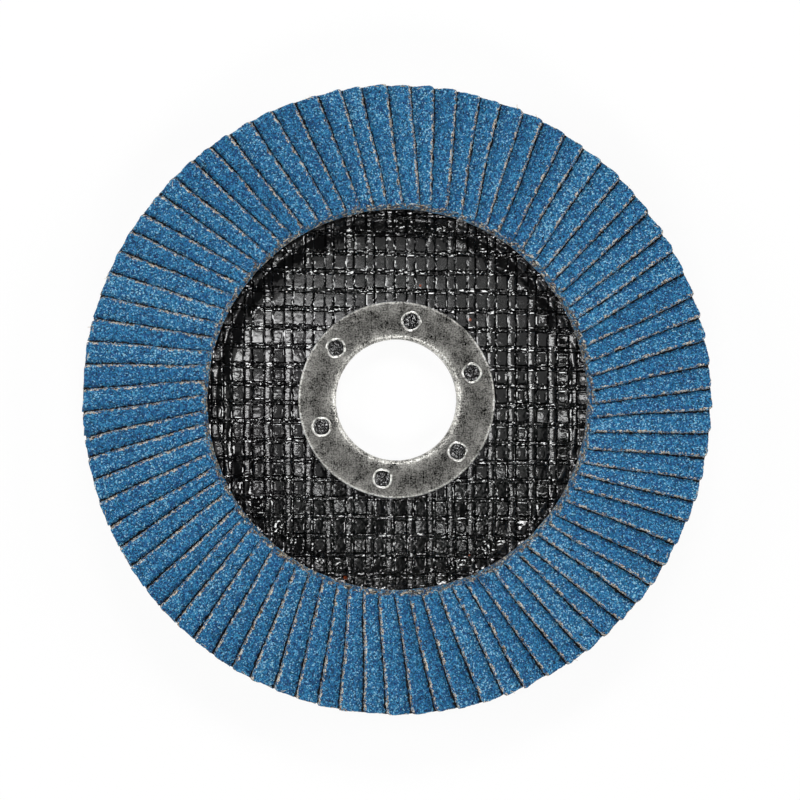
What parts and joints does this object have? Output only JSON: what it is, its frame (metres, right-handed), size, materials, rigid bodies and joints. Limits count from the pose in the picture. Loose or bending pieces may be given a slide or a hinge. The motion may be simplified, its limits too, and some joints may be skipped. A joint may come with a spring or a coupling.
{
  "type": "flap disc",
  "caption": "Grinder flap disc: overlapping blue abrasive cloth flaps fanned round a dished black glass-fibre plate, with a steel arbor ring at its centre.",
  "frame": {"origin": "on the bore axis, in the plane of the hub's back face", "axes": "+Z along the bore axis towards the flaps' working side; +Y is an arbitrary radius"},
  "size_m": [0.115, 0.115, 0.0102],
  "materials": {
    "resin_laminate": "glossy black resin over woven glass mesh",
    "zinc_plated_steel": "mottled dull zinc",
    "cured_adhesive": "dark hardened resin",
    "abrasive_cloth": "blue grain coat on cream cotton cloth"
  },
  "bodies": {
    "root": {"backing_plate": "resin_laminate", "arbor_ring": "zinc_plated_steel", "adhesive_bed": "cured_adhesive", "flap_pair_01": "abrasive_cloth", "flap_pair_02": "abrasive_cloth", "flap_pair_03": "abrasive_cloth", "flap_pair_04": "abrasive_cloth", "flap_pair_05": "abrasive_cloth", "flap_pair_06": "abrasive_cloth", "flap_pair_07": "abrasive_cloth", "flap_pair_08": "abrasive_cloth", "flap_pair_09": "abrasive_cloth", "flap_pair_10": "abrasive_cloth", "flap_pair_11": "abrasive_cloth", "flap_pair_12": "abrasive_cloth", "flap_pair_13": "abrasive_cloth", "flap_pair_14": "abrasive_cloth", "flap_pair_15": "abrasive_cloth", "flap_pair_16": "abrasive_cloth", "flap_pair_17": "abrasive_cloth", "flap_pair_18": "abrasive_cloth", "flap_pair_19": "abrasive_cloth", "flap_pair_20": "abrasive_cloth", "flap_pair_21": "abrasive_cloth", "flap_pair_22": "abrasive_cloth", "flap_pair_23": "abrasive_cloth", "flap_pair_24": "abrasive_cloth", "flap_pair_25": "abrasive_cloth", "flap_pair_26": "abrasive_cloth", "flap_pair_27": "abrasive_cloth", "flap_pair_28": "abrasive_cloth", "flap_pair_29": "abrasive_cloth", "flap_pair_30": "abrasive_cloth", "flap_pair_31": "abrasive_cloth", "flap_pair_32": "abrasive_cloth", "flap_pair_33": "abrasive_cloth", "flap_pair_34": "abrasive_cloth", "flap_pair_35": "abrasive_cloth", "flap_pair_36": "abrasive_cloth", "flap_pair_37": "abrasive_cloth", "flap_pair_38": "abrasive_cloth", "flap_pair_39": "abrasive_cloth", "flap_pair_40": "abrasive_cloth", "flap_pair_41": "abrasive_cloth", "flap_pair_42": "abrasive_cloth"}
  },
  "joints": []
}
